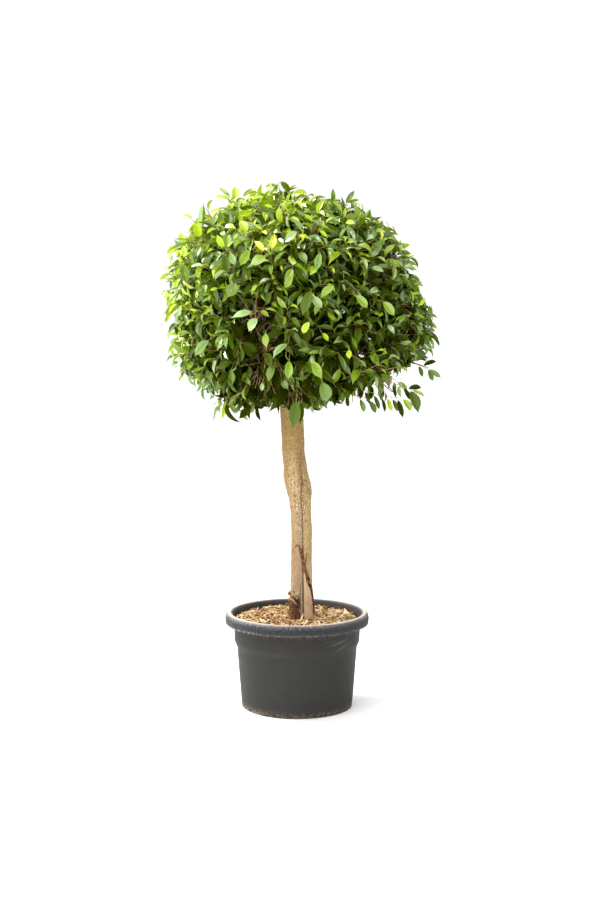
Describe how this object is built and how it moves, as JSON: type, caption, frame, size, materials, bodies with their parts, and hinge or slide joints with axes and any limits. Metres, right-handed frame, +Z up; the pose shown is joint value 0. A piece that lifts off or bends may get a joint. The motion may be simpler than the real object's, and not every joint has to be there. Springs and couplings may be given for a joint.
{
  "type": "standard topiary tree in pot",
  "caption": "Standard (lollipop) topiary: a round clipped crown of glossy leaves on one clear, slightly leaning trunk, in a round tapered pot with a rolled rim, topped with wood-chip mulch.",
  "frame": {"origin": "centre of the pot's flat underside, on the floor", "axes": "+Z up; -Y towards the viewer of the picture, the front; +X to the picture's right"},
  "size_m": [1.0722, 1.0152, 2.0347],
  "materials": {
    "pot_plastic": "matte",
    "soil": "matte",
    "mulch": "matte",
    "trunk_bark": "matte",
    "bough_bark": "matte",
    "foliage": "satin"
  },
  "bodies": {
    "root": {"pot": "pot_plastic", "soil": "soil", "mulch": "mulch", "trunk": "trunk_bark", "bough_lower_right": "bough_bark", "bough_lower_back": "bough_bark", "bough_lower_left": "bough_bark", "bough_lower_front_left": "bough_bark", "bough_lower_front_right": "bough_bark", "bough_upper_back_right": "bough_bark", "bough_upper_back_left": "bough_bark", "bough_upper_left": "bough_bark", "bough_upper_front": "bough_bark", "bough_upper_right": "bough_bark", "bough_top": "bough_bark", "foliage_lower_right": "foliage", "foliage_lower_back": "foliage", "foliage_lower_left": "foliage", "foliage_lower_front_left": "foliage", "foliage_lower_front_right": "foliage", "foliage_upper_back_right": "foliage", "foliage_upper_back_left": "foliage", "foliage_upper_left": "foliage", "foliage_upper_front": "foliage", "foliage_upper_right": "foliage", "foliage_top": "foliage"}
  },
  "joints": []
}
